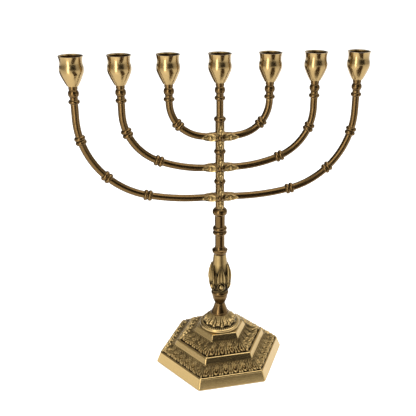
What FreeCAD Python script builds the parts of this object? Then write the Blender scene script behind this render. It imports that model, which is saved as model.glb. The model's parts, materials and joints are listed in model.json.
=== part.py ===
import FreeCAD, Part
import math
import os
import Sketcher

# A brass seven-branch menorah, cast and turned in pieces that are stacked on one tie rod.
# Millimetres, +Z up, origin under the middle of the hexagonal foot; the arms lie along X.

TINY = 1e-6
document = FreeCAD.newDocument("Menorah")
sheet = document.addObject("Spreadsheet::Sheet", "Sizes")
sheet_rows = []
nodes = []


class Size:
    """A value together with the sheet formula that gives it."""

    def __init__(self, value, formula):
        self.value = value
        self.formula = formula

    def __add__(self, other):
        other = as_size(other)
        return Size(self.value + other.value, f"({self.formula} + {other.formula})")

    def __sub__(self, other):
        other = as_size(other)
        return Size(self.value - other.value, f"({self.formula} - {other.formula})")

    def __mul__(self, other):
        other = as_size(other)
        return Size(self.value * other.value, f"({self.formula} * {other.formula})")

    def __truediv__(self, other):
        other = as_size(other)
        return Size(self.value / other.value, f"({self.formula} / {other.formula})")


def as_size(number):
    return number if isinstance(number, Size) else Size(number, repr(float(number)))


def sine(angle):
    return Size(math.sin(math.radians(angle.value)), f"sin({angle.formula})")


def cosine(angle):
    return Size(math.cos(math.radians(angle.value)), f"cos({angle.formula})")


def size(name, value):
    """Writes one driving dimension in the sheet and returns it."""
    sheet_rows.append(name)
    row = len(sheet_rows)
    sheet.set(f"A{row}", name)
    sheet.set(f"B{row}", str(value))
    sheet.setAlias(f"B{row}", name)
    return Size(value, f"Sizes.{name}")


# Hexagonal foot: each radius is to a corner.
foot_radius = size("foot_radius", 74.8)
plinth_edge_height = size("plinth_edge_height", 1.0)
plinth_draft = size("plinth_draft", 4.8)
plinth_height = size("plinth_height", 12.6)
lower_step_radius = size("lower_step_radius", 53.5)
lower_band_rise = size("lower_band_rise", 7.1)
upper_step_radius = size("upper_step_radius", 30.4)
upper_band_rise = size("upper_band_rise", 8.3)
step_rise = size("step_rise", 6.7)
step_draft = size("step_draft", 3.8)
foot_wall = size("foot_wall", 3.5)
foot_turn = size("foot_turn", 4.2)

# Tie rod, its nut and washer, and the clearance of the holes it passes through.
rod_radius = size("rod_radius", 2.5)
rod_clearance = size("rod_clearance", 0.05)
rod_tail = size("rod_tail", 9.5)
rod_grip = size("rod_grip", 14.5)
washer_radius = size("washer_radius", 8.0)
washer_thickness = size("washer_thickness", 1.5)
nut_radius = size("nut_radius", 4.6)
nut_thickness = size("nut_thickness", 4.0)

# Turned and cast pieces of the stem, from the foot up.
boss_radius = size("boss_radius", 21.6)
boss_bead = size("boss_bead", 4.0)
boss_height = size("boss_height", 14.6)
cone_radius = size("cone_radius", 9.3)
cone_height = size("cone_height", 14.0)
waist_radius = size("waist_radius", 5.65)
knob_radius = size("knob_radius", 9.0)
knob_height = size("knob_height", 16.0)
knop_foot_radius = size("knop_foot_radius", 8.6)
knop_radius = size("knop_radius", 12.2)
knop_neck_radius = size("knop_neck_radius", 6.95)
knop_height = size("knop_height", 45.7)
column_radius = size("column_radius", 5.3)
column_height = size("column_height", 53.8)
column_dish_radius = size("column_dish_radius", 8.6)
ring_height = size("ring_height", 4.8)
ring_swell = size("ring_swell", 1.9)

# Branch tiers.
tier_height = size("tier_height", 33.25)
upper_tier_height = size("upper_tier_height", 29.5)
hub_rise = size("hub_rise", 13.3)
hub_radius = size("hub_radius", 4.8)
hub_ring_swell = size("hub_ring_swell", 1.5)
hub_bead_radius = size("hub_bead_radius", 3.2)
swivel_gap = size("swivel_gap", 0.05)
arm_radius = size("arm_radius", 3.75)
arm_root_radius = size("arm_root_radius", 6.2)
arm_root_length = size("arm_root_length", 12.0)
knot_radius = size("knot_radius", 3.3)
knot_swell = size("knot_swell", 2.4)
knot_pitch = size("knot_pitch", 4.4)
lower_spread = size("lower_spread", 143.0)
middle_spread = size("middle_spread", 98.0)
upper_spread = size("upper_spread", 51.0)

# Column above the tiers, and the finial that ends it and every arm.
top_column_height = size("top_column_height", 37.5)
top_column_radius = size("top_column_radius", 3.75)
finial_height = size("finial_height", 15.3)
finial_ring_height = size("finial_ring_height", 4.0)
finial_groove_height = size("finial_groove_height", 2.5)
finial_ball_height = size("finial_ball_height", 7.0)
finial_lip_height = size("finial_lip_height", 2.5)
finial_lip_wall = size("finial_lip_wall", 1.0)
seat_clearance = size("seat_clearance", 0.05)

# Candle cup and the screw that holds it.
candle_radius = size("candle_radius", 10.0)
candle_depth = size("candle_depth", 15.0)
cup_height = size("cup_height", 31.0)
cup_wall = size("cup_wall", 0.95)
cup_lip = size("cup_lip", 0.85)
cup_lip_height = size("cup_lip_height", 1.0)
cup_floor = size("cup_floor", 7.0)
cup_floor_radius = size("cup_floor_radius", 5.0)
spigot_radius = size("spigot_radius", 3.4)
cup_base_radius = size("cup_base_radius", 5.7)
cup_crease_height = size("cup_crease_height", 12.8)
cup_belly_height = size("cup_belly_height", 22.5)
screw_radius = size("screw_radius", 2.0)
screw_clearance = size("screw_clearance", 0.1)
screw_depth = size("screw_depth", 8.0)
screw_head_radius = size("screw_head_radius", 3.5)
screw_head_height = size("screw_head_height", 2.4)

# Levels, from the foot up.
zero = Size(0.0, "0")
rod_hole = rod_radius + rod_clearance
lower_step_level = plinth_height + lower_band_rise
upper_band_level = lower_step_level + step_rise
upper_step_level = upper_band_level + upper_band_rise
foot_top = upper_step_level + step_rise
cone_level = foot_top + boss_height
knob_level = cone_level + cone_height
knop_level = knob_level + knob_height
column_level = knop_level + knop_height
lower_level = column_level + column_height
middle_level = lower_level + tier_height
upper_level = middle_level + tier_height
top_level = upper_level + upper_tier_height
seat_level = top_level + top_column_height
finial_level = seat_level - finial_height


def keep(thing, label):
    """Makes a finished object one of the nodes that are written out."""
    thing.Label = label
    nodes.append(thing)
    return thing


def pin_point(sketch, curve, end, across, up):
    """Holds one end of a curve at its place from the sketch's origin."""
    if abs(across.value) < TINY:
        sketch.addConstraint(Sketcher.Constraint("PointOnObject", curve, end, -2))
    else:
        rule = Sketcher.Constraint("DistanceX", -1, 1, curve, end, across.value)
        sketch.setExpression(f"Constraints[{sketch.addConstraint(rule)}]", across.formula)
    if abs(up.value) < TINY:
        sketch.addConstraint(Sketcher.Constraint("PointOnObject", curve, end, -1))
    else:
        rule = Sketcher.Constraint("DistanceY", -1, 1, curve, end, up.value)
        sketch.setExpression(f"Constraints[{sketch.addConstraint(rule)}]", up.formula)


def draw_arc(sketch, start, end, bulge):
    """An arc that stands out by bulge to the right of its chord, with a bound radius."""
    across = end[0] - start[0]
    up = end[1] - start[1]
    chord_squared = across * across + up * up
    side = 1.0 if bulge.value > 0 else -1.0
    radius = (chord_squared * 0.25 + bulge * bulge) / (bulge * (2.0 * side))
    chord = math.sqrt(chord_squared.value)
    inward = side * radius.value - bulge.value
    middle_x = (start[0].value + end[0].value) / 2 - up.value / chord * inward
    middle_y = (start[1].value + end[1].value) / 2 + across.value / chord * inward
    turns = []
    for point in (start, end):
        turns.append(math.atan2(point[1].value - middle_y, point[0].value - middle_x))
    first, last = turns if side > 0 else turns[::-1]
    if last < first:
        last += 2 * math.pi
    centre = FreeCAD.Vector(middle_x, middle_y, 0)
    circle = Part.Circle(centre, FreeCAD.Vector(0, 0, 1), radius.value)
    curve = sketch.addGeometry(Part.ArcOfCircle(circle, first, last), False)
    rule = Sketcher.Constraint("Radius", curve, radius.value)
    sketch.setExpression(f"Constraints[{sketch.addConstraint(rule)}]", radius.formula)
    return (curve, 1, 2) if side > 0 else (curve, 2, 1)


def draw(sketch, outline, closed=True):
    """Draws points (across, up) joined by lines; (across, up, bulge) ends an arc."""
    points = [tuple(as_size(number) for number in point) for point in outline]
    curves = []
    count = len(points) if closed else len(points) - 1
    for number in range(count):
        start = points[number]
        end = points[(number + 1) % len(points)]
        if len(end) == 3:
            curves.append(draw_arc(sketch, start, end, end[2]))
            continue
        corners = [FreeCAD.Vector(point[0].value, point[1].value, 0) for point in (start, end)]
        curves.append((sketch.addGeometry(Part.LineSegment(*corners), False), 1, 2))
    for number, (curve, start_end, last_end) in enumerate(curves):
        point = points[number]
        pin_point(sketch, curve, start_end, point[0], point[1])
        if number + 1 < len(curves) or closed:
            following = curves[(number + 1) % len(curves)]
            joint = ("Coincident", curve, last_end, following[0], following[1])
            sketch.addConstraint(Sketcher.Constraint(*joint))
        else:
            pin_point(sketch, curve, last_end, points[-1][0], points[-1][1])


def turned(name, outline, level=zero, across=zero):
    """A body turned about its own Z axis, standing at level and across along X."""
    body = document.addObject("PartDesign::Body", name)
    sketch = body.newObject("Sketcher::SketchObject", f"{name}_outline")
    planes = [plane for plane in body.Origin.OriginFeatures if plane.Role == "XZ_Plane"]
    sketch.AttachmentSupport = [(planes[0], "")]
    sketch.MapMode = "FlatFace"
    draw(sketch, outline)
    turning = body.newObject("PartDesign::Revolution", f"{name}_turning")
    turning.Profile = sketch
    turning.ReferenceAxis = (sketch, ["V_Axis"])
    turning.Angle = 360
    body.Placement = FreeCAD.Placement(
        FreeCAD.Vector(across.value, 0, level.value), FreeCAD.Rotation()
    )
    body.setExpression("Placement.Base.x", across.formula)
    body.setExpression("Placement.Base.z", level.formula)
    return body


def primitive(kind, name, sizes, across=zero, level=zero, front=zero, turn=0.0):
    """A Part primitive with bound sizes, turned about Y and moved to its place."""
    thing = document.addObject(kind, name)
    for size_name, value in sizes.items():
        thing.setExpression(size_name, value.formula)
    place = FreeCAD.Vector(across.value, front.value, level.value)
    thing.Placement = FreeCAD.Placement(place, FreeCAD.Rotation(FreeCAD.Vector(0, 1, 0), turn))
    thing.setExpression("Placement.Base.x", across.formula)
    thing.setExpression("Placement.Base.y", front.formula)
    thing.setExpression("Placement.Base.z", level.formula)
    return thing


def cut(name, base, tool):
    result = document.addObject("Part::Cut", name)
    result.Base = base
    result.Tool = tool
    return result


def fused(name, pieces):
    result = document.addObject("Part::MultiFuse", name)
    result.Shapes = pieces
    return result


def hexagon_stack(name, sections):
    """A solid whose flat faces run straight between hexagons (corner radius, level)."""
    hexagons = []
    for number, (radius, level) in enumerate(sections):
        sizes = {"Circumradius": radius}
        hexagons.append(
            primitive("Part::RegularPolygon", f"{name}_{number}", sizes, level=level)
        )
        hexagons[-1].Polygon = 6
    solid = document.addObject("Part::Loft", name)
    solid.Sections = hexagons
    solid.Solid = True
    solid.Ruled = True
    return solid


def make_base_casting():
    """The stepped hexagonal foot, hollow underneath, with the hole for the tie rod."""
    sections = (
        (foot_radius, zero),
        (foot_radius, plinth_edge_height),
        (foot_radius - plinth_draft, plinth_height),
        (lower_step_radius, lower_step_level),
        (lower_step_radius - step_draft, upper_band_level),
        (upper_step_radius, upper_step_level),
        (upper_step_radius - step_draft, foot_top),
    )
    wall = foot_wall * (2.0 / math.sqrt(3.0))
    inner = [(foot_radius - wall, zero - foot_wall)]
    for radius, level in sections[2:]:
        inner.append((radius - wall, level - foot_wall))
    shell = cut("foot_shell", hexagon_stack("foot_outside", sections),
                hexagon_stack("foot_inside", inner))
    sizes = {"Radius": rod_hole, "Height": foot_top}
    casting = cut("foot_casting", shell, primitive("Part::Cylinder", "foot_rod_hole", sizes))
    casting.Placement.Rotation = FreeCAD.Rotation(FreeCAD.Vector(0, 0, 1), foot_turn.value)
    keep(casting, "base_casting")


def make_stem():
    """The boss, cone, knob, leaf knop and column that stand on the foot."""
    bead = boss_bead
    boss = (
        (rod_hole, zero), (boss_radius, zero), (boss_radius, bead, bead * 0.28),
        (boss_radius - bead * 0.5, bead), (cone_radius + 0.5, boss_height, 1.4),
        (rod_hole, boss_height),
    )
    keep(turned("boss_body", boss, foot_top), "base_boss")
    rim = ring_height * 0.6
    cone = (
        (rod_hole, zero), (cone_radius, zero), (cone_radius, rim, rim * 0.28),
        (waist_radius, cone_height, -0.25), (rod_hole, cone_height),
    )
    keep(turned("cone_body", cone, cone_level), "stem_foot")
    knob = (
        (rod_hole, zero), (waist_radius, zero), (knob_radius, knob_height * 0.68, 0.7),
        (knob_radius, knob_height * 0.95, 0.85), (knob_radius * 0.9, knob_height),
        (rod_hole, knob_height),
    )
    keep(turned("knob_body", knob, knob_level), "stem_knob")
    knop = (
        (rod_hole, zero), (knop_foot_radius, zero), (knop_radius, knop_height * 0.36, 0.5),
        (knop_radius - 1.6, knop_height * 0.64), (knop_neck_radius + 1.4, knop_height * 0.76, 0.3),
        (knop_neck_radius, knop_height, -0.3), (rod_hole, knop_height),
    )
    keep(turned("knop_body", knop, knop_level), "leaf_knop")
    dish_top = ring_height * 2.0
    ring_level = column_height * 0.43
    collar_level = column_height - ring_height * 1.6
    column = (
        (rod_hole, zero), (knop_neck_radius, zero), (column_dish_radius, ring_height, 0.5),
        (column_radius, dish_top, -0.8), (column_radius, ring_level),
        (column_radius + 0.6, ring_level),
        (column_radius + 0.6, ring_level + ring_height, ring_swell),
        (column_radius + 0.6, ring_level + ring_height * 2.0, ring_swell),
        (column_radius + 0.3, ring_level + ring_height * 2.0),
        (column_radius + 0.3, collar_level), (column_radius + 0.9, collar_level),
        (column_radius + 0.9, column_height, ring_swell), (rod_hole, column_height),
    )
    keep(turned("column_body", column, column_level), "lower_column")


def finial_outline(level, bottom_radius):
    """The turned end of an arm, from its ring up to the cup seat and the screw hole."""
    ball_level = level + finial_ring_height + finial_groove_height
    neck_level = ball_level + finial_ball_height
    seat = level + finial_height
    recess = spigot_radius + seat_clearance
    thread = screw_radius + seat_clearance
    return [
        (bottom_radius + 0.45, level),
        (bottom_radius + 0.45, level + finial_ring_height, 1.4),
        (bottom_radius + 0.2, level + finial_ring_height),
        (bottom_radius + 0.2, ball_level),
        (bottom_radius + 0.3, neck_level, 1.4),
        (recess + finial_lip_wall, neck_level + finial_lip_height * 0.4, -0.15),
        (recess + finial_lip_wall, seat + finial_lip_height),
        (recess, seat + finial_lip_height), (recess, seat),
        (thread, seat), (thread, seat - screw_depth), (zero, seat - screw_depth),
    ]


def place_on_arm(turn, heading, bends):
    """Where the middle line of an arm is when it has turned up by heading degrees."""
    start, hub_level, first_radius, second_radius = bends
    if heading.value <= turn.value:
        across = start + first_radius * sine(heading)
        up = hub_level + first_radius * (as_size(1.0) - cosine(heading))
        return across, up
    across = start + first_radius * sine(turn)
    across = across + second_radius * (sine(heading) - sine(turn))
    up = hub_level + first_radius * (as_size(1.0) - cosine(turn))
    up = up + second_radius * (cosine(turn) - cosine(heading))
    return across, up


def make_knots(name, turn, headings, bends):
    """Pairs of rings cast round an arm, square to it."""
    knots = []
    sizes = {"Radius1": knot_radius, "Radius2": knot_swell}
    for number, heading in enumerate(headings):
        across, up = place_on_arm(turn, heading, bends)
        for side in (-0.5, 0.5):
            along = knot_pitch * side
            knots.append(primitive(
                "Part::Torus", f"{name}_knot_{number}", sizes,
                across + along * cosine(heading), up + along * sine(heading),
                turn=90.0 - heading.value,
            ))
    return knots


def make_arm(name, hub_level, spread, first_radius, second_radius, turn, headings):
    """One arm: out of the hub, a long bend, a tighter bend up, its knots and its finial."""
    start = spread - first_radius * sine(turn) - second_radius * (as_size(1.0) - sine(turn))
    bends = (start, hub_level, first_radius, second_radius)
    upright = Size(90.0, "90")
    points = [(zero, hub_level), (start, hub_level)]
    for heading, radius, swing in (
        (turn, first_radius, turn), (upright, second_radius, upright - turn),
    ):
        across, up = place_on_arm(turn, heading, bends)
        points.append((across, up, radius * (as_size(1.0) - cosine(swing * 0.5))))
    points.append((spread, finial_level))
    path = document.addObject("Sketcher::SketchObject", f"{name}_path")
    draw(path, points, closed=False)
    path.Placement = FreeCAD.Placement(
        FreeCAD.Vector(0, 0, 0), FreeCAD.Rotation(FreeCAD.Vector(1, 0, 0), 90)
    )
    ring = primitive("Part::Circle", f"{name}_section", {"Radius": arm_radius},
                     level=hub_level, turn=90.0)
    tube = document.addObject("Part::Sweep", f"{name}_tube")
    tube.Sections = [ring]
    tube.Spine = (path, [f"Edge{number}" for number in range(1, len(points))])
    tube.Solid = True
    root_sizes = {"Radius1": arm_root_radius, "Radius2": arm_radius, "Height": arm_root_length}
    root = primitive("Part::Cone", f"{name}_root", root_sizes, level=hub_level, turn=90.0)
    outline = [(zero, zero)] + finial_outline(zero, arm_radius)
    finial = turned(f"{name}_finial", outline, finial_level, spread)
    tip = cut(f"{name}_tube_end", tube, primitive(
        "Part::Cylinder", f"{name}_tube_trim", {"Radius": arm_radius * 2.0, "Height": zero + 1.0},
        spread, finial_level,
    ))
    knots = make_knots(name, turn, headings, bends)
    return fused(f"{name}_arm", [tip, root, finial] + knots)


def make_tier(name, level, height, ringed, spread, first_radius, second_radius, turn, headings):
    """A hub that turns on the tie rod, with its two arms cast on it."""
    hub_level = level + hub_rise
    hub_top = height - swivel_gap
    outline = [(rod_hole * 0.5, zero), (hub_radius, zero)]
    if ringed:
        outline += [(hub_radius, hub_top - ring_height), (hub_radius, hub_top, hub_ring_swell)]
    else:
        outline += [(hub_radius, hub_top)]
    outline += [(rod_hole * 0.5, hub_top)]
    hub = turned(f"{name}_hub", outline, level + swivel_gap * 0.5)
    arm = make_arm(name, hub_level, spread, first_radius, second_radius, turn, headings)
    mirrored = document.addObject("Part::Mirroring", f"{name}_other_arm")
    mirrored.Source = arm
    mirrored.Normal = FreeCAD.Vector(1, 0, 0)
    beads = []
    for side in (-1.0, 1.0):
        beads.append(primitive("Part::Sphere", f"{name}_bead", {"Radius": hub_bead_radius},
                               level=hub_level, front=hub_radius * side))
    casting = fused(f"{name}_casting", [hub, arm, mirrored] + beads)
    bore_sizes = {"Radius": rod_hole, "Height": height * 2.0}
    bore = primitive("Part::Cylinder", f"{name}_bore", bore_sizes,
                     level=level - height * 0.5)
    keep(cut(f"{name}_tier", casting, bore), f"{name}_branches")


def make_tiers():
    """The three pairs of arms: each is two tangent bends between its hub and its finial."""
    tiers = (
        ("lower", lower_level, tier_height, lower_spread, 226.0, 86.65, 13.0, (13.0, 44.0, 75.0)),
        ("middle", middle_level, tier_height, middle_spread, 132.0, 55.7, 22.0, (22.0, 68.0)),
        ("upper", upper_level, upper_tier_height, upper_spread, 98.0, 36.15, 10.0, (50.0,)),
    )
    for name, level, height, spread, long_bend, tight_bend, turn, headings in tiers:
        bends = (
            size(f"{name}_long_bend_radius", long_bend),
            size(f"{name}_tight_bend_radius", tight_bend),
            size(f"{name}_bend_turn", turn),
        )
        angles = []
        for number, heading in enumerate(headings):
            angles.append(size(f"{name}_knot_heading_{number + 1}", heading))
        make_tier(name, level, height, name != "upper", spread, *bends, angles)


def make_top_column():
    """The column that screws down on the tie rod and ends in the middle finial."""
    outline = [
        (zero, rod_grip), (rod_radius, rod_grip), (rod_radius, zero), (hub_radius, zero),
        (hub_radius, ring_height, hub_ring_swell), (top_column_radius, ring_height),
        (top_column_radius, top_column_height - finial_height),
    ]
    outline += finial_outline(top_column_height - finial_height, top_column_radius)
    keep(turned("top_body", outline, top_level), "top_column")


def make_candle_holders():
    """Seven cups, each held on its finial by a pan-head screw through its floor."""
    outer = candle_radius + cup_wall
    lip = outer + cup_lip
    flare = finial_lip_height
    cup = (
        (screw_radius + screw_clearance, zero), (spigot_radius, zero), (spigot_radius, flare),
        (cup_base_radius, flare), (cup_base_radius + 0.4, flare + 0.8),
        (outer - 0.3, cup_crease_height, 0.2), (outer + 0.1, cup_belly_height, 0.95),
        (lip, cup_height, -0.55), (candle_radius + 0.6, cup_height),
        (candle_radius, cup_height - cup_lip_height),
        (candle_radius, cup_height - cup_lip_height - candle_depth),
        (cup_floor_radius, cup_floor), (screw_radius + screw_clearance, cup_floor),
    )
    shank = cup_floor + screw_depth
    screw = (
        (zero, zero), (screw_radius, zero), (screw_radius, shank), (screw_head_radius, shank),
        (screw_head_radius, shank + screw_head_height * 0.5),
        (screw_head_radius * 0.6, shank + screw_head_height, 0.3),
        (zero, shank + screw_head_height),
    )
    spreads = (
        lower_spread * -1.0, middle_spread * -1.0, upper_spread * -1.0, zero,
        upper_spread, middle_spread, lower_spread,
    )
    for number, spread in enumerate(spreads, 1):
        keep(turned(f"cup_body_{number}", cup, seat_level, spread), f"candle_cup_{number}")
        body = turned(f"screw_body_{number}", screw, seat_level - screw_depth, spread)
        keep(body, f"cup_screw_{number}")


def make_tie_rod():
    """The rod through the whole stem, with its washer and nut under the foot's top."""
    under = foot_top - foot_wall
    bottom = under - rod_tail
    sizes = {"Radius": rod_radius, "Height": top_level + rod_grip - bottom}
    keep(primitive("Part::Cylinder", "rod_bar", sizes, level=bottom), "tie_rod")
    washer = (
        (rod_hole, zero), (washer_radius, zero), (washer_radius, washer_thickness),
        (rod_hole, washer_thickness),
    )
    keep(turned("washer_body", washer, under - washer_thickness), "base_washer")
    nut_level = under - washer_thickness - nut_thickness
    sizes = {"Circumradius": nut_radius, "Height": nut_thickness}
    blank = primitive("Part::Prism", "nut_blank", sizes, level=nut_level)
    blank.Polygon = 6
    sizes = {"Radius": rod_radius, "Height": nut_thickness}
    hole = primitive("Part::Cylinder", "nut_thread", sizes, level=nut_level)
    keep(cut("nut_body", blank, hole), "base_nut")


def check_and_write():
    """Stops if anything failed, then writes one STEP file for each node."""
    document.recompute()
    for thing in document.Objects:
        if "Invalid" in thing.State or "Error" in thing.State:
            raise RuntimeError(f"{thing.Name} failed: {thing.State}")
    for node in nodes:
        if node.Shape.isNull() or not node.Shape.isValid() or len(node.Shape.Solids) != 1:
            raise RuntimeError(f"{node.Label} isn't one valid solid")
    os.makedirs("parts", exist_ok=True)
    for node in nodes:
        node.Shape.exportStep(f"parts/{node.Label}.step")
        print(f"{node.Label}: {node.Shape.Volume:.1f} cubic mm, top {node.Shape.BoundBox.ZMax:.2f}")


make_base_casting()
make_stem()
make_tiers()
make_top_column()
make_candle_holders()
make_tie_rod()
check_and_write()
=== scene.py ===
import json
import math
import bpy
import numpy as np
from mathutils import Matrix, Vector


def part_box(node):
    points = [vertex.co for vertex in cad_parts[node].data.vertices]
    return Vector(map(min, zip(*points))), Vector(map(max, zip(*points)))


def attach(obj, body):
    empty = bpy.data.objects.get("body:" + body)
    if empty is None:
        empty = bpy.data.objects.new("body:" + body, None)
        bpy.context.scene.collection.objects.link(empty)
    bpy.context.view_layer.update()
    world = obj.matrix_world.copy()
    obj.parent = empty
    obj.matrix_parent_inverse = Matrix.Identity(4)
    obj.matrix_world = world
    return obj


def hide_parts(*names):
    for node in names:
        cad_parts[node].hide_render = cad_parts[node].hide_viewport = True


# A brass seven-branch menorah: turned and cast brass with dark patina in its recesses.

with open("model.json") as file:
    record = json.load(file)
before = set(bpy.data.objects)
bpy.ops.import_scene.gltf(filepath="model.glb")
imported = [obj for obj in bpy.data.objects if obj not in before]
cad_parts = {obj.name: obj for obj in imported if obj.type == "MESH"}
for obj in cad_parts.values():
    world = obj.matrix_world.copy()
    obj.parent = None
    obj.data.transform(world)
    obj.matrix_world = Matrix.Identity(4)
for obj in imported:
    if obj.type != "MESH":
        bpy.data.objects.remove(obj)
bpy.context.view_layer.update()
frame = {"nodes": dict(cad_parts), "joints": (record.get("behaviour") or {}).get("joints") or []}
bpy.context.scene.view_settings.view_transform = "Standard"

MM = 0.001


# ---------------------------------------------------------------- materials

def new_material(name):
    material = bpy.data.materials.new(name)
    material.use_nodes = True
    return material, material.node_tree.nodes, material.node_tree.links


# How much of the blotchy noise is added before patina and polish are read off it.
BRASS_BLOTCHES = 0.42
CUP_BLOTCHES = 0.2
RECESS_SAMPLES = 6


def add_node(nodes, kind, **values):
    """A shader node with its properties or numbered inputs set by name."""
    node = nodes.new(kind)
    for name, value in values.items():
        if hasattr(node, name):
            setattr(node, name, value)
        else:
            node.inputs[name.replace("_", " ")].default_value = value
    return node


def ramp(nodes, stops):
    node = nodes.new("ShaderNodeValToRGB")
    elements = node.color_ramp.elements
    elements[0].position, elements[0].color = stops[0][0], (*stops[0][1], 1)
    elements[1].position, elements[1].color = stops[-1][0], (*stops[-1][1], 1)
    for place, colour in stops[1:-1]:
        elements.new(place).color = (*colour, 1)
    return node


def roughness_from(material, source, span, rough):
    """Roughness that goes from rough[0] to rough[1] as source goes over span."""
    nodes, links = material.node_tree.nodes, material.node_tree.links
    gloss = add_node(nodes, "ShaderNodeMapRange")
    gloss.inputs["From Min"].default_value = span[0]
    gloss.inputs["From Max"].default_value = span[1]
    gloss.inputs["To Min"].default_value = rough[0]
    gloss.inputs["To Max"].default_value = rough[1]
    links.new(source, gloss.inputs["Value"])
    links.new(gloss.outputs["Result"], nodes["Principled BSDF"].inputs["Roughness"])


def brass(name, bright, worn, dark, rough, recess_mm, levels, relief=False, grain=0.05):
    """Brass whose recesses hold dark patina, with tints at three levels of openness.

    With relief, the mesh's own record of how proud it stands darkens the low ground too.
    """
    material, nodes, links = new_material(name)
    shader = nodes["Principled BSDF"]
    shader.inputs["Metallic"].default_value = 1.0
    place = nodes.new("ShaderNodeTexCoord")
    clouds = add_node(nodes, "ShaderNodeTexNoise", Scale=45.0, Detail=5.0, Roughness=0.6)
    links.new(place.outputs["Object"], clouds.inputs["Vector"])
    pits = add_node(nodes, "ShaderNodeTexNoise", Scale=900.0, Detail=4.0, Roughness=0.7)
    links.new(place.outputs["Object"], pits.inputs["Vector"])
    hollow = add_node(nodes, "ShaderNodeAmbientOcclusion", Distance=recess_mm * MM,
                      samples=RECESS_SAMPLES)
    height = nodes.new("ShaderNodeMath")
    height.operation = "MULTIPLY"
    links.new(hollow.outputs["AO"], height.inputs[0])
    if relief:
        proud = nodes.new("ShaderNodeAttribute")
        proud.attribute_name = "proud"
        links.new(proud.outputs["Fac"], height.inputs[1])
    else:
        height.inputs[1].default_value = 1.0
    mottled = add_node(nodes, "ShaderNodeMath", operation="MULTIPLY_ADD")
    links.new(clouds.outputs["Fac"], mottled.inputs[0])
    mottled.inputs[1].default_value = BRASS_BLOTCHES
    links.new(height.outputs[0], mottled.inputs[2])
    tint = ramp(nodes, tuple(zip(levels, (dark, worn, bright))))
    links.new(mottled.outputs[0], tint.inputs["Fac"])
    links.new(tint.outputs["Color"], shader.inputs["Base Color"])
    roughness_from(material, mottled.outputs[0], (0.3, 1.1), (min(rough + 0.3, 0.75), rough))
    bump = add_node(nodes, "ShaderNodeBump", Strength=grain, Distance=0.0004)
    links.new(pits.outputs["Fac"], bump.inputs["Height"])
    links.new(bump.outputs["Normal"], shader.inputs["Normal"])
    return material


def satin_cup(name):
    """Lacquered cup brass with fine lathe lines round it."""
    material, nodes, links = new_material(name)
    shader = nodes["Principled BSDF"]
    shader.inputs["Metallic"].default_value = 1.0
    shader.inputs["Coat Weight"].default_value = 0.25
    shader.inputs["Coat Roughness"].default_value = 0.12
    place = nodes.new("ShaderNodeTexCoord")
    split = nodes.new("ShaderNodeSeparateXYZ")
    links.new(place.outputs["Object"], split.inputs[0])
    lines = add_node(nodes, "ShaderNodeTexNoise", noise_dimensions="1D", Scale=3500.0,
                     Detail=3.0)
    links.new(split.outputs["Z"], lines.inputs["W"])
    clouds = add_node(nodes, "ShaderNodeTexNoise", Scale=60.0, Detail=4.0)
    links.new(place.outputs["Object"], clouds.inputs["Vector"])
    hollow = add_node(nodes, "ShaderNodeAmbientOcclusion", Distance=0.004, samples=RECESS_SAMPLES)
    shade = add_node(nodes, "ShaderNodeMath", operation="MULTIPLY_ADD")
    links.new(clouds.outputs["Fac"], shade.inputs[0])
    shade.inputs[1].default_value = CUP_BLOTCHES
    links.new(hollow.outputs["AO"], shade.inputs[2])
    shadowed, worn, bright = (0.06, 0.032, 0.012), (0.25, 0.165, 0.065), (0.35, 0.240, 0.100)
    tint = ramp(nodes, ((0.25, shadowed), (0.75, worn), (1.0, bright)))
    links.new(shade.outputs[0], tint.inputs["Fac"])
    links.new(tint.outputs["Color"], shader.inputs["Base Color"])
    roughness_from(material, lines.outputs["Fac"], (0.0, 1.0), (0.17, 0.27))
    bump = add_node(nodes, "ShaderNodeBump", Strength=0.05, Distance=0.0003)
    links.new(lines.outputs["Fac"], bump.inputs["Height"])
    links.new(bump.outputs["Normal"], shader.inputs["Normal"])
    return material


def plated_steel(name):
    """Zinc-plated fasteners, faintly streaked."""
    material, nodes, links = new_material(name)
    shader = nodes["Principled BSDF"]
    shader.inputs["Metallic"].default_value = 1.0
    place = nodes.new("ShaderNodeTexCoord")
    clouds = add_node(nodes, "ShaderNodeTexNoise", Scale=400.0, Detail=4.0)
    links.new(place.outputs["Object"], clouds.inputs["Vector"])
    tint = ramp(nodes, ((0.3, (0.30, 0.28, 0.22)), (0.7, (0.62, 0.58, 0.48))))
    links.new(clouds.outputs["Fac"], tint.inputs["Fac"])
    links.new(tint.outputs["Color"], shader.inputs["Base Color"])
    roughness_from(material, clouds.outputs["Fac"], (0.0, 1.0), (0.25, 0.45))
    return material


ANTIQUE = brass("antique_brass", bright=(0.33, 0.216, 0.088), worn=(0.124, 0.074, 0.028),
                dark=(0.008, 0.005, 0.003), rough=0.22, recess_mm=3.0,
                levels=(0.64, 1.00, 1.31), grain=0.12)
CAST = brass("cast_brass", bright=(0.44, 0.312, 0.135), worn=(0.225, 0.155, 0.062),
             dark=(0.010, 0.007, 0.004), rough=0.25, recess_mm=1.8,
             levels=(0.50, 0.74, 0.98), relief=True, grain=0.08)
CUP = satin_cup("satin_cup_brass")
STEEL = plated_steel("plated_steel")


def give(thing, material):
    thing.data.materials.clear()
    thing.data.materials.append(material)


def material_for(node):
    if node.startswith("candle_cup"):
        return CUP
    if node.startswith("cup_screw") or node in ("tie_rod", "base_washer", "base_nut"):
        return STEEL
    return ANTIQUE


# ---------------------------------------------------------------- mesh helpers

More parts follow.
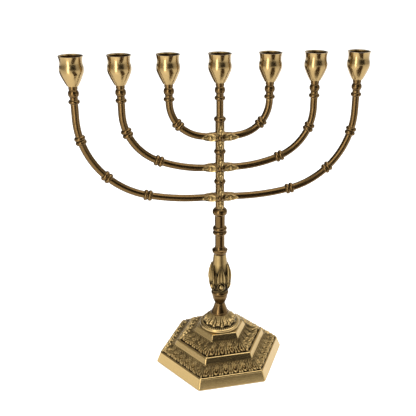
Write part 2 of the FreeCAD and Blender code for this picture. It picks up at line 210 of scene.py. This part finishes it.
def surface(name, points, proud=None, wrap=True, loop=False):
    """A smooth mesh over a grid of points (rows, columns, 3) in millimetres."""
    rows, columns = points.shape[:2]
    index = np.arange(rows * columns).reshape(rows, columns)
    if wrap:
        index = np.hstack([index, index[:, :1]])
    if loop:
        index = np.vstack([index, index[:1]])
    quads = np.stack([index[:-1, :-1], index[:-1, 1:], index[1:, 1:], index[1:, :-1]], -1)
    mesh = bpy.data.meshes.new(name)
    mesh.from_pydata((points.reshape(-1, 3) * MM).tolist(), [], quads.reshape(-1, 4).tolist())
    mesh.polygons.foreach_set("use_smooth", [True] * len(mesh.polygons))
    if proud is not None:
        layer = mesh.attributes.new("proud", "FLOAT", "POINT")
        layer.data.foreach_set("value", np.clip(proud, 0, 1).reshape(-1))
    mesh.update()
    thing = bpy.data.objects.new(name, mesh)
    bpy.context.scene.collection.objects.link(thing)
    return thing


def joined(name, things):
    """One object made of several, keeping their materials."""
    bpy.ops.object.select_all(action="DESELECT")
    for thing in things:
        thing.select_set(True)
    bpy.context.view_layer.objects.active = things[0]
    bpy.ops.object.join()
    things[0].name = name
    things[0].data.name = name
    return things[0]


def trace(outline, step=0.4):
    """Points along an outline (across, up), where (across, up, bulge) ends an arc.

    The arc bows to the right of the way it goes, by bulge at its middle.
    """
    path = [np.array(outline[0][:2], float)]
    for start, end in zip(outline[:-1], outline[1:]):
        first, last = np.array(start[:2], float), np.array(end[:2], float)
        chord = last - first
        length = float(np.hypot(*chord))
        count = max(1, math.ceil(length / step))
        right = np.array((chord[1], -chord[0])) / max(length, 1e-9)
        share = np.arange(1, count + 1) / count
        bulge = end[2] if len(end) == 3 else 0.0
        if bulge:
            radius = (length ** 2 / 4 + bulge ** 2) / (2 * abs(bulge))
            offset = (share - 0.5) * length
            rise = np.sqrt(radius ** 2 - offset ** 2) - (radius - abs(bulge))
            rise = rise * math.copysign(1.0, bulge)
        else:
            rise = np.zeros(count)
        for part, lift in zip(share, rise):
            path.append(first + chord * part + right * lift)
    return np.array(path)


def smooth_step(value, low, high):
    share = np.clip((value - low) / (high - low), 0, 1)
    return share * share * (3 - 2 * share)


def palmette(across, down, length, half_angle, lobes):
    """Height of a leaf whose lobes spread from its root at (0, 0) down to its tips."""
    reach = np.hypot(across, down)
    turn = np.arctan2(across, down)
    lobe = turn / (2 * half_angle / lobes)
    shift = 0.0 if lobes % 2 else 0.5
    number = np.round(lobe - shift) + shift
    inside = np.abs(lobe) <= lobes / 2
    ridge = np.clip(np.cos(np.pi * (lobe - number)), 0, 1) ** 0.8
    shorter = 0.07 * np.abs(number) ** 1.35
    limit = length * (1 - shorter)
    share = reach / np.maximum(limit, 1e-6)
    body = (0.42 + 0.30 * share) * np.clip(1 - share ** 10, 0, 1) ** 0.5
    tip = 0.46 * np.exp(-((share - 0.84) / 0.11) ** 2)
    groove = np.exp(-((lobe - number) / 0.10) ** 2)
    vein = 1 - 0.30 * groove * smooth_step(share, 0.15, 0.3)
    vein = np.where(share > 0.72, 1.0, vein)
    return np.where(inside & (share < 1), ridge * (body + tip) * vein, 0.0)


# ---------------------------------------------------------------- foot

# Sizes in millimetres. A radius is measured to a corner of the hexagon.
SIDES = 6
FOOT_TURN = math.radians(4.2)
CORNER_SHARPNESS = 90
PLINTH_RADIUS, PLINTH_EDGE = 74.8, 1.0
BAND_RADIUS, BAND_LEVEL = 70.0, 12.6
LOWER_RADIUS, LOWER_LEVEL = 53.5, 19.7
UPPER_RADIUS, UPPER_LEVEL = 30.4, 34.7
STEP_RISE, STEP_DRAFT = 6.7, 3.8
BORE_RADIUS = 6.0
WALL = 3.5
RELIEF = 2.9
GROUND_HEIGHT = 0.38
PEBBLE = 1.7
LOWER_BAND_LEAVES, UPPER_BAND_LEAVES = 6, 4
COLUMNS_PER_SIDE = 150


def hexagon(angle):
    """Radius and outward direction of a rounded hexagon of unit corner radius."""
    total = np.zeros_like(angle)
    normal = np.zeros(angle.shape + (2,))
    for side in range(SIDES):
        middle = math.pi / SIDES + side * 2 * math.pi / SIDES
        share = np.clip(np.cos(angle - middle), 0, 1)
        total += share ** CORNER_SHARPNESS
        weight = share ** (CORNER_SHARPNESS - 1)
        normal += weight[..., None] * np.array((math.cos(middle), math.sin(middle)))
    radius = math.cos(math.pi / SIDES) * total ** (-1 / CORNER_SHARPNESS)
    return radius, normal / np.linalg.norm(normal, axis=-1, keepdims=True)


def band_relief(along, side_length, up, length, leaves):
    """Row of palmettes that spread down a band, the largest at the corners.

    A shorter leaf and a bud stand between each two, and pebbles fill the ground above them.
    """
    down = length - up
    spacing = side_length / leaves
    row = np.floor(down / PEBBLE)
    pebbles = np.sin(math.pi * (along / spacing * 3 + 0.5 * row)) * np.sin(math.pi * down / PEBBLE)
    height = 0.62 * np.abs(pebbles) ** 0.5 * smooth_step(up, length * 0.30, length * 0.45)
    for number in range(leaves + 1):
        corner = number in (0, leaves)
        place = along - (number / leaves - 0.5) * side_length
        lobes = 7 if corner else 4
        angle = math.radians(48 if corner else 30)
        root = length * (1.0 if corner else 0.84)
        size = root * (1.02 if corner else 1.03)
        front = palmette(place, down - (length - root), size, angle, lobes)
        height = np.where(front > 0.05, front, height)
        if number < leaves:
            middle = place - spacing / 2
            back = palmette(middle, down, length * 0.66, math.radians(30), 3)
            height = np.maximum(height, 0.95 * back)
            bud = np.hypot(middle / (spacing * 0.16), (up - length * 0.16) / (length * 0.11))
            height = np.maximum(height, 0.95 * np.clip(1 - bud ** 2, 0, 1) ** 0.5)
    return height


def foot_runs():
    """The foot's outline from its bore round the inside to its top, as (leaves, points)."""
    wall = WALL / math.cos(math.pi / SIDES)
    top = UPPER_LEVEL + STEP_RISE
    lower_top = LOWER_LEVEL + STEP_RISE
    plain, fine, coarse = 0.6, 0.42, 3
    return [
        (None, trace([(BORE_RADIUS, top - WALL),
                      (UPPER_RADIUS - STEP_DRAFT - wall, top - WALL)], coarse)),
        (None, trace([(UPPER_RADIUS - STEP_DRAFT - wall, top - WALL),
                      (UPPER_RADIUS - wall, UPPER_LEVEL - WALL),
                      (LOWER_RADIUS - STEP_DRAFT - wall, lower_top - WALL),
                      (LOWER_RADIUS - wall, LOWER_LEVEL - WALL),
                      (BAND_RADIUS - wall, BAND_LEVEL - WALL),
                      (PLINTH_RADIUS - wall, 0.0)], coarse)),
        (None, trace([(PLINTH_RADIUS - wall, 0.0), (PLINTH_RADIUS - 0.7, 0.0),
                      (PLINTH_RADIUS, PLINTH_EDGE, 0.25),
                      (BAND_RADIUS + 0.6, BAND_LEVEL - 1.5),
                      (BAND_RADIUS - 1.2, BAND_LEVEL + 0.1, 0.5)], plain)),
        (LOWER_BAND_LEAVES, trace([(BAND_RADIUS - 1.3, BAND_LEVEL + 0.1),
                                   (LOWER_RADIUS + 0.4, LOWER_LEVEL)], fine)),
        (None, trace([(LOWER_RADIUS, LOWER_LEVEL + 0.3),
                      (LOWER_RADIUS - STEP_DRAFT + 1.0, lower_top - 0.9),
                      (LOWER_RADIUS - STEP_DRAFT - 0.9, lower_top, 0.35),
                      (LOWER_RADIUS - STEP_DRAFT - 1.6, lower_top - 0.3)], plain)),
        (UPPER_BAND_LEAVES, trace([(LOWER_RADIUS - STEP_DRAFT - 1.9, lower_top - 0.3),
                                   (UPPER_RADIUS + 0.4, UPPER_LEVEL)], fine)),
        (None, trace([(UPPER_RADIUS, UPPER_LEVEL + 0.3),
                      (UPPER_RADIUS - STEP_DRAFT + 0.8, top - 1.0),
                      (UPPER_RADIUS - STEP_DRAFT - 0.9, top, 0.35),
                      (BORE_RADIUS, top)], plain)),
    ]


def make_foot():
    """The stepped hexagon with its two leaf bands, hollow underneath."""
    half = math.tan(math.pi / SIDES)
    share = (np.arange(COLUMNS_PER_SIDE) + 0.5) / COLUMNS_PER_SIDE * 2 - 1
    local = np.arctan(share * half)
    angles = np.concatenate([
        local + math.pi / SIDES + side * 2 * math.pi / SIDES for side in range(SIDES)
    ])
    unit, normal = hexagon(angles)
    local = np.tile(local, SIDES)
    rows, prouds = [], []
    for leaves, run in foot_runs():
        radius, level = run[:, 0][:, None], run[:, 1][:, None]
        lift = np.zeros((len(run), len(angles)))
        proud = np.full(lift.shape, 1.0)
        slope = np.array((0.0, 1.0))
        if leaves:
            chord = (run[-1] - run[0]) * np.array((math.cos(math.pi / SIDES), 1.0))
            length = float(np.hypot(*chord))
            slope = np.array((chord[1], -chord[0])) / length
            up = np.linspace(0, length, len(run))[:, None] + 0 * lift
            along = radius * unit[None, :] * np.sin(local)[None, :]
            side_length = radius + 0 * lift
            height = band_relief(along, side_length, up, length, leaves)
            lift = RELIEF * (height - GROUND_HEIGHT)
            fade = smooth_step(up, 0, 0.7) * smooth_step(length - up, 0, 0.9)
            lift = lift * fade - 0.3 * (1 - fade)
            proud = 0.10 + 1.10 * height
        spread = radius * unit[None, :]
        x = spread * np.cos(angles) + lift * slope[0] * normal[:, 0]
        y = spread * np.sin(angles) + lift * slope[0] * normal[:, 1]
        z = level + lift * slope[1]
        rows.append(np.stack([x, y, np.broadcast_to(z, x.shape)], -1))
        prouds.append(proud)
    points = np.concatenate(rows)
    cosine, sine = math.cos(FOOT_TURN), math.sin(FOOT_TURN)
    points[..., :2] = points[..., :2] @ np.array(((cosine, sine), (-sine, cosine)))
    foot = surface("foot_casting", points, np.concatenate(prouds), loop=True)
    give(foot, CAST)
    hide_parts("base_casting")
    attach(foot, "stand")


# ---------------------------------------------------------------- cast pieces of the stem

def lathe_grid(outline, columns, relief, step):
    """Turned points pushed outward by relief(angle, across, up), with how proud they are."""
    path = trace(outline, step)
    along = np.gradient(path, axis=0)
    along = along / np.maximum(np.hypot(along[:, 0], along[:, 1]), 1e-9)[:, None]
    angles = np.arange(columns) / columns * 2 * math.pi
    across = path[:, 0][:, None] + 0 * angles[None, :]
    up = path[:, 1][:, None] + 0 * angles[None, :]
    lift, proud = relief(angles[None, :] + 0 * across, across, up)
    out = across + lift * along[:, 1][:, None]
    points = np.stack([out * np.cos(angles), out * np.sin(angles),
                       up - lift * along[:, 0][:, None]], -1)
    return points, proud


def wrapped(angle, count):
    """Angle from the nearest of count evenly spaced places, one of them at the front."""
    sector = 2 * math.pi / count
    turned = angle + math.pi / 2
    return turned - np.round(turned / sector) * sector


def standing(name, node, outline, columns, relief, step):
    """A cast piece turned from outline, standing in the place of a node of the stem."""
    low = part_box(node)[0]
    points, proud = lathe_grid(outline, columns, relief, step)
    points[..., 2] += low[2] / MM
    piece = surface(name, points, proud, loop=True)
    give(piece, CAST)
    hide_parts(node)
    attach(piece, "stand")


def make_boss():
    """Low dome of radiating leaves inside a beaded ring."""
    leaves, beads = 12, 54

    def relief(angle, across, up):
        length = 13.5
        down = np.hypot(across - 9.6, up - 14.6)
        place = wrapped(angle, leaves) * across
        height = palmette(place, down + 5.0, length + 4.5, math.radians(20), 3)
        between = wrapped(angle + math.pi / leaves, leaves) * across
        height = np.maximum(height, 0.7 * palmette(between, down + 5.0, length + 1.5,
                                                   math.radians(9), 1))
        on_dome = smooth_step(up, 4.15, 4.9) * smooth_step(14.5 - up, 0.0, 0.8)
        on_dome = on_dome * (across > 8.8)
        bead = np.clip(np.cos(wrapped(angle, beads) * beads), 0, 1) ** 0.5
        ring = np.exp(-((across - 20.4) / 0.7) ** 2) * (up > 3.5)
        lift = on_dome * 1.7 * (height - 0.30) + ring * 0.75 * bead
        proud = np.where(on_dome > 0.3, 0.30 + 0.95 * height, 1.0)
        proud = np.where(ring > 0.3, 0.35 + 0.65 * bead, proud)
        return lift, proud

    outline = [(3.2, 0), (21.9, 0), (22.7, 2.0, 0.5), (21.4, 4.0, 0.6), (20.0, 4.2),
               (16.5, 8.2, 0.35), (9.6, 14.6, -0.5), (3.2, 14.6)]
    standing("boss_leaves", "base_boss", outline, 540, relief, 0.3)


def make_knop():
    """Vase with six tall sepals, each with a bud in a shell at its foot, and leaves between."""
    sepals = 6

    def sepal(angle, up, tip, foot, width):
        """Height of a lancet leaf and how far up it each place is."""
        share = (up - foot) / (tip - foot)
        half = width * np.clip(np.sin(np.pi * np.clip(share, 0, 1) ** 0.9), 0, 1) ** 0.9
        side = np.abs(angle) / np.maximum(half, 1e-4)
        inside = (side < 1) & (share > 0) & (share < 1)
        rim = np.exp(-((side - 0.80) / 0.20) ** 2)
        vein = np.exp(-(side / 0.16) ** 2)
        dome = np.clip(1 - side ** 6, 0, 1) ** 0.5
        height = dome * (0.50 + 0.42 * rim + 0.30 * vein)
        return np.where(inside, height, 0.0), np.clip(share, 0, 1)

    def relief(angle, across, up):
        main, share = sepal(wrapped(angle, sepals), up, 33.5, 2.0, 0.42)
        lift = main * (1.0 + 2.6 * np.sin(np.pi * share ** 1.25) + 1.2 * share ** 3)
        inner = wrapped(angle + math.pi / sepals, sepals)
        back, back_share = sepal(inner, up, 25.0, 9.0, 0.20)
        lift = np.maximum(lift, back * (0.9 + 1.0 * np.sin(np.pi * back_share)))
        front = wrapped(angle, sepals)
        bud = np.hypot(front / 0.25, (up - 8.4) / 3.4)
        shell = np.hypot(front / 0.40, (up - 9.0) / 6.0)
        ring = np.exp(-((shell - 0.84) / 0.10) ** 2)
        round_bud = np.clip(1 - bud ** 2, 0, 1) ** 0.5
        hole = np.where(shell < 1.0, 1.0, 0.0)
        inside_shell = 2.3 * ring + 3.2 * round_bud
        lift = np.where(hole > 0, np.maximum(0.35 * lift, inside_shell), lift)
        outer = (across > 5.5) & (up > 0.5) & (up < 45.0)
        height = np.maximum(main, back * 0.85) * (1 - 0.75 * hole)
        height = np.maximum(height, np.maximum(ring, round_bud) * hole)
        ground = 0.36 + 0.24 * smooth_step(up, 24, 36)
        proud = np.where(outer, np.maximum(ground, 0.10 + 0.70 * height), 0.6)
        return np.where(outer, lift, 0.0), proud

    outline = [(3.2, 0), (8.8, 0), (9.3, 1.2, 0.3), (8.4, 2.3, 0.3), (9.4, 6.0), (10.3, 14.0, 0.3),
               (9.7, 22.0, 0.2), (8.2, 33.8, 0.1), (6.95, 45.5, -0.1), (3.2, 45.7)]
    standing("leaf_knop_casting", "leaf_knop", outline, 480, relief, 0.3)


# ---------------------------------------------------------------- leaves on the hubs

def leaf_pad(length, width, height, bows, tip_bead=True):
    """A pointed leaf along +X that faces -Y and hugs a tube round the X axis.

    The tube's radius goes from bows[0] to bows[1] over the share bows[2] of the leaf.
    """
    share = np.linspace(0, 1, 34)[:, None]
    side = np.linspace(-1, 1, 25)[None, :]
    half = width / 2 * np.clip(np.sin(np.pi * share ** 0.62), 0, 1) ** 0.75
    across = half * side
    rim = np.exp(-((np.abs(side) - 0.78) / 0.18) ** 2)
    vein = np.exp(-(side / 0.16) ** 2)
    lift = height * (0.42 + 0.50 * rim + 0.20 * vein) * np.clip(1 - np.abs(side) ** 8, 0, 1) ** 0.5
    bead = np.hypot((share - 0.42) * length / 2.2, across / 1.7)
    lift = np.maximum(lift, height * 1.9 * np.clip(1 - bead ** 2, 0, 1) ** 0.5)
    if tip_bead:
        bead = np.hypot((share - 0.90) * length / 1.5, across / 1.1)
        lift = np.maximum(lift, height * 1.3 * np.clip(1 - bead ** 2, 0, 1) ** 0.5)
    bow = bows[0] + (bows[1] - bows[0]) * np.clip(share / bows[2], 0, 1)
    reach = bow + lift - 0.25
    x = length * share + 0 * side
    points = np.stack([x, -reach * np.cos(across / bow), reach * np.sin(across / bow)], -1)
    proud = 0.30 + 0.75 * lift / height
    return points, proud


def bead_grid(radius, flat=0.8):
    turn = np.linspace(0, 2 * math.pi, 28, endpoint=False)[None, :]
    rise = np.linspace(-0.2, math.pi / 2 - 0.02, 12)[:, None]
    x = radius * np.cos(rise) * np.cos(turn)
    z = radius * np.cos(rise) * np.sin(turn)
    y = -radius * flat * np.sin(rise) + 0 * turn
    return np.stack([x, y, z], -1)


def moved(points, place, turn=0.0, back=False):
    """Turns points about Y by turn, then puts them at place on the front or back."""
    cosine, sine = math.cos(turn), math.sin(turn)
    x = points[..., 0] * cosine - points[..., 2] * sine
    z = points[..., 0] * sine + points[..., 2] * cosine
    y = points[..., 1]
    if back:
        x, y = -x, -y
    return np.stack([x + place[0], y + place[1], z + place[2]], -1)


def make_hub_leaves(tier, level):
    """Four pointed leaves and their beads round the crossing, front and back."""
    arm_leaf_start, stem_leaf_start = 4.2, 2.6
    hub_face = 4.9
    pieces = []

    def add(points, proud, wrap=False):
        pieces.append(surface("leaf", points, proud, wrap=wrap))
        give(pieces[-1], CAST)

    for back in (False, True):
        for mirror in (False, True):
            pad, proud = leaf_pad(15.5, 7.6, 2.1, (5.3, 3.75, 0.5))
            points = moved(pad, (0, 0, level), 0.0, back)
            if mirror:
                points = (points * np.array((-1, 1, 1)))[:, ::-1]
            add(points, proud)
            start = -arm_leaf_start if mirror != back else arm_leaf_start
            pieces[-1].data.transform(Matrix.Translation(Vector((start * MM, 0, 0))))
        for turn in (math.pi / 2, -math.pi / 2):
            pad, proud = leaf_pad(12.0, 6.8, 2.0, (5.0, 5.0, 1.0), tip_bead=False)
            place = (0, 0, level + stem_leaf_start * math.copysign(1, turn))
            add(moved(pad, place, turn, back), proud)
        bead = bead_grid(3.3)
        for rise, size in ((0, 1.0), (7.4, 0.5), (-7.4, 0.5)):
            place = (0, (hub_face if back else -hub_face), level + rise)
            points = moved(bead * size, place, 0.0, back)
            add(points, np.full(points.shape[:2], 0.95), wrap=True)
    piece = joined(f"{tier}_hub_leaves", pieces)
    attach(piece, f"{tier}_tier")


# ---------------------------------------------------------------- stage

def make_floor():
    """A plain pale floor, lit a little from within so that it stays white."""
    mesh = bpy.data.meshes.new("floor")
    size = 6.0
    mesh.from_pydata([(-size, -size, 0), (size, -size, 0), (size, size, 0), (-size, size, 0)],
                     [], [(0, 1, 2, 3)])
    floor = bpy.data.objects.new("floor", mesh)
    bpy.context.scene.collection.objects.link(floor)
    material = new_material("pale_floor")[0]
    shader = material.node_tree.nodes["Principled BSDF"]
    shader.inputs["Base Color"].default_value = (0.93, 0.93, 0.92, 1)
    shader.inputs["Roughness"].default_value = 0.9
    shader.inputs["Emission Color"].default_value = (1, 1, 1, 1)
    shader.inputs["Emission Strength"].default_value = 0.45
    give(floor, material)


def area_light(name, place, aim, size, power, colour=(1, 1, 1)):
    """A soft rectangular light at place that points at aim."""
    light = bpy.data.lights.new(name, "AREA")
    light.shape = "RECTANGLE"
    light.size, light.size_y = size
    light.energy = power
    light.color = colour
    thing = bpy.data.objects.new(name, light)
    thing.location = place
    thing.rotation_euler = (Vector(aim) - Vector(place)).to_track_quat("-Z", "Y").to_euler()
    thing.visible_camera = False
    bpy.context.scene.collection.objects.link(thing)


def dark_card(name, corners, shade):
    """A dark card lying on the floor that only reflections see."""
    mesh = bpy.data.meshes.new(name)
    mesh.from_pydata(corners, [], [(0, 1, 2, 3)])
    card = bpy.data.objects.new(name, mesh)
    bpy.context.scene.collection.objects.link(card)
    material = new_material(name)[0]
    shader = material.node_tree.nodes["Principled BSDF"]
    shader.inputs["Base Color"].default_value = (*shade, 1)
    shader.inputs["Roughness"].default_value = 1.0
    shader.inputs["Specular IOR Level"].default_value = 0.0
    give(card, material)
    card.visible_camera = False
    card.visible_diffuse = False
    card.visible_shadow = False


# Brightness of the room by heading in degrees, 0 in front of the object and +90 to its right.
ROOM = ((-180, 0.30), (-150, 0.08), (-125, 0.10), (-105, 0.45), (-62, 0.60), (-50, 1.15),
        (-24, 1.15), (-14, 0.55), (-6, 0.22), (4, 0.05), (42, 0.05), (54, 0.85), (86, 0.80),
        (92, 0.35), (99, 0.75), (150, 0.95), (180, 0.30))


def make_world():
    """A pale room that is darker on some sides, so that polished tubes show stripes."""
    world = bpy.data.worlds.new("studio")
    world.use_nodes = True
    bpy.context.scene.world = world
    nodes, links = world.node_tree.nodes, world.node_tree.links
    place = nodes.new("ShaderNodeTexCoord")
    split = nodes.new("ShaderNodeSeparateXYZ")
    links.new(place.outputs["Generated"], split.inputs[0])
    front = add_node(nodes, "ShaderNodeMath", operation="MULTIPLY")
    links.new(split.outputs["Y"], front.inputs[0])
    front.inputs[1].default_value = -1.0
    heading = add_node(nodes, "ShaderNodeMath", operation="ARCTAN2")
    links.new(split.outputs["X"], heading.inputs[0])
    links.new(front.outputs[0], heading.inputs[1])
    share = add_node(nodes, "ShaderNodeMapRange")
    share.inputs["From Min"].default_value = -math.pi
    share.inputs["From Max"].default_value = math.pi
    links.new(heading.outputs[0], share.inputs["Value"])
    stops = []
    for degrees, level in ROOM:
        stops.append(((degrees + 180) / 360, (level, level * 0.985, level * 0.95)))
    sides = ramp(nodes, stops)
    links.new(share.outputs["Result"], sides.inputs["Fac"])
    overhead = add_node(nodes, "ShaderNodeMapRange")
    overhead.inputs["From Min"].default_value = 0.72
    overhead.inputs["From Max"].default_value = 0.92
    links.new(split.outputs["Z"], overhead.inputs["Value"])
    both = nodes.new("ShaderNodeMix")
    both.data_type = "RGBA"
    links.new(overhead.outputs["Result"], both.inputs["Factor"])
    links.new(sides.outputs["Color"], both.inputs["A"])
    both.inputs["B"].default_value = (1.0, 1.0, 0.98, 1)
    links.new(both.outputs["Result"], nodes["Background"].inputs["Color"])
    nodes["Background"].inputs["Strength"].default_value = 1.0


def make_camera():
    """Stands in front, a little to the left and above, looking down at the object."""
    place = Vector((-0.0931, -0.6506, 0.4590))
    heading, pitch, roll = math.radians(10.03), math.radians(22.57), math.radians(-0.75)
    forward = Vector((math.sin(heading) * math.cos(pitch),
                      math.cos(heading) * math.cos(pitch), -math.sin(pitch)))
    right = Vector((math.cos(heading), -math.sin(heading), 0))
    up = right.cross(forward)
    turned_right = math.cos(roll) * right - math.sin(roll) * up
    turned_up = math.sin(roll) * right + math.cos(roll) * up
    data = bpy.data.cameras.new("camera")
    data.sensor_width = 36
    data.lens = 57.22
    data.shift_x = -0.0769
    data.clip_start = 0.01
    camera = bpy.data.objects.new("camera", data)
    axes = Matrix((turned_right, turned_up, -forward)).transposed().to_4x4()
    camera.matrix_world = Matrix.Translation(place) @ axes
    bpy.context.scene.collection.objects.link(camera)
    bpy.context.scene.camera = camera


# ---------------------------------------------------------------- the whole scene

for node_name in frame["nodes"]:
    give(bpy.data.objects[node_name], material_for(node_name))

make_foot()
make_boss()
make_knop()
for joint in frame["joints"]:
    make_hub_leaves(joint["name"].removesuffix("_swivel"), joint["pos_m"][2] / MM)

make_floor()
make_world()
area_light("key", place=(-0.40, -0.52, 0.42), aim=(0, 0, 0.26), size=(0.16, 0.75), power=2.6,
           colour=(1.0, 0.97, 0.90))
area_light("top", place=(0.3, 0.2, 2.0), aim=(0, 0, 0.1), size=(2.0, 2.0), power=32)
CARD_LEVEL = 0.003
dark_card("dark_front", [(-0.02, -2.2, CARD_LEVEL), (1.3, -2.2, CARD_LEVEL),
                         (0.26, -0.16, CARD_LEVEL), (-0.01, -0.16, CARD_LEVEL)],
          (0.06, 0.035, 0.018))
dark_card("dark_behind", [(-0.18, 0.085, CARD_LEVEL), (-1.63, 0.76, CARD_LEVEL),
                          (-0.61, 1.69, CARD_LEVEL), (-0.07, 0.19, CARD_LEVEL)],
          (0.10, 0.07, 0.04))
make_camera()
